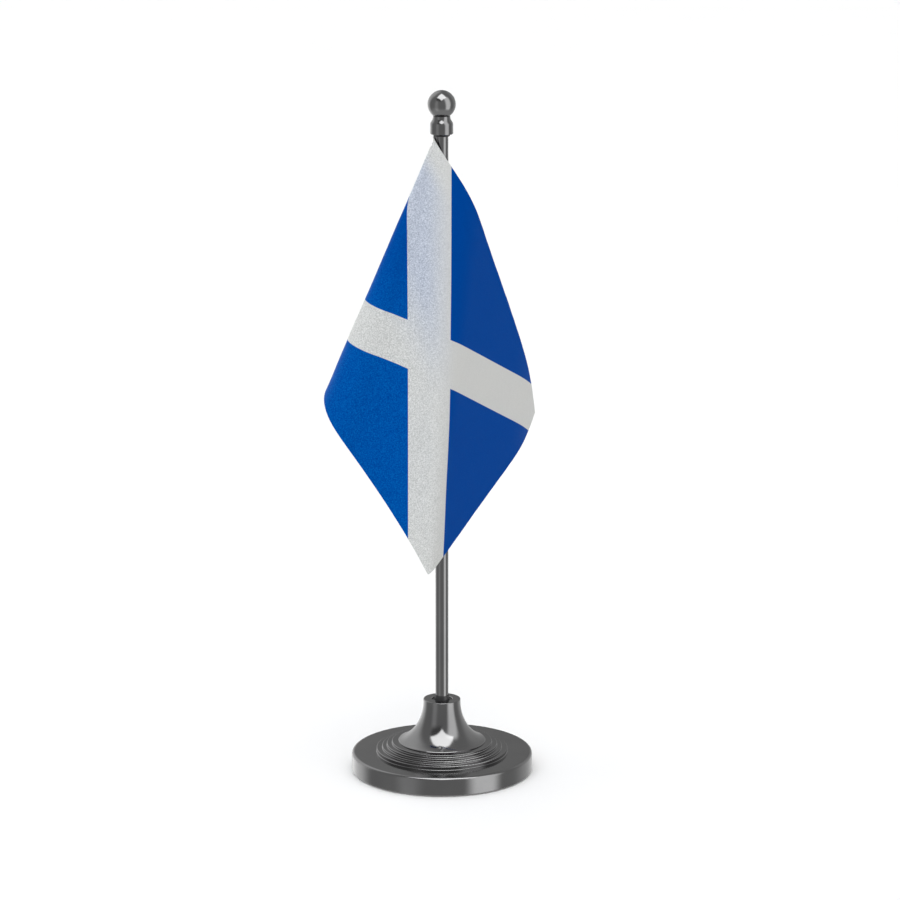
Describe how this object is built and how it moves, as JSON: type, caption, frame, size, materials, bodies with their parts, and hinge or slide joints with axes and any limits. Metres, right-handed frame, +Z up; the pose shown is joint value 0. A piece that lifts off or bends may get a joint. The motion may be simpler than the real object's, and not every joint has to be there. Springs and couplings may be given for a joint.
{
  "type": "desk flag stand",
  "caption": "Table flag on a slim pole with a ball finial, standing in a trumpet neck on a weighted round base with stepped rings.",
  "frame": {"origin": "centre of the base's underside", "axes": "+Z up the pole, -Y the front, +X to the right seen from the front"},
  "size_m": [0.1306, 0.1385, 0.4255],
  "materials": {
    "dark_chrome": "polished dark chrome plating",
    "cast_iron": "raw casting",
    "zinc_steel": "zinc plated",
    "felt": "pressed felt",
    "black_plastic": "moulded",
    "brass": "turned",
    "flag_satin": "printed satin, a white diagonal cross on blue",
    "white_tape": "woven tape",
    "black_cord": "braided elastic cord"
  },
  "bodies": {
    "base": {"base_cover": "dark_chrome", "base_felt": "felt", "base_plate": "zinc_steel", "ballast_weight": "cast_iron", "neck_bolt": "zinc_steel", "spring_washer": "zinc_steel", "flat_washer": "zinc_steel", "neck": "dark_chrome"},
    "bush": {"pole_bush": "black_plastic"},
    "pole": {"pole_tube": "dark_chrome", "pole_plug": "black_plastic", "finial_insert": "brass"},
    "stud": {"finial_stud": "zinc_steel"},
    "finial": {"finial_collar": "dark_chrome", "finial_ball": "dark_chrome"},
    "flag": {"flag_cloth": "flag_satin", "hoist_tape": "white_tape", "ring_top": "black_cord", "ring_bottom": "black_cord"}
  },
  "joints": [
    {"name": "pole_turn", "type": "hinge", "parent": "base", "child": "bush", "pos_m": [0, 0, 0.0457], "axis": [0, 0, 1], "continuous": true},
    {"name": "pole_lift", "type": "slide", "parent": "bush", "child": "pole", "axis": [0, 0, 1], "range_m": [0, 0.018]},
    {"name": "finial_rise", "type": "slide", "parent": "pole", "child": "stud", "axis": [0, 0, 1], "range_m": [0, 0.007]},
    {"name": "finial_unscrew", "type": "hinge", "parent": "stud", "child": "finial", "pos_m": [0, 0, 0.399], "axis": [0, 0, 1], "range_deg": [0, 3600]},
    {"name": "flag_turn", "type": "hinge", "parent": "pole", "child": "flag", "pos_m": [0, 0, 0.3968], "axis": [0, 0, 1], "continuous": true}
  ],
  "couplings": [
    {"joint": "finial_unscrew", "follows": "finial_rise", "rad_per_m": 8976}
  ]
}
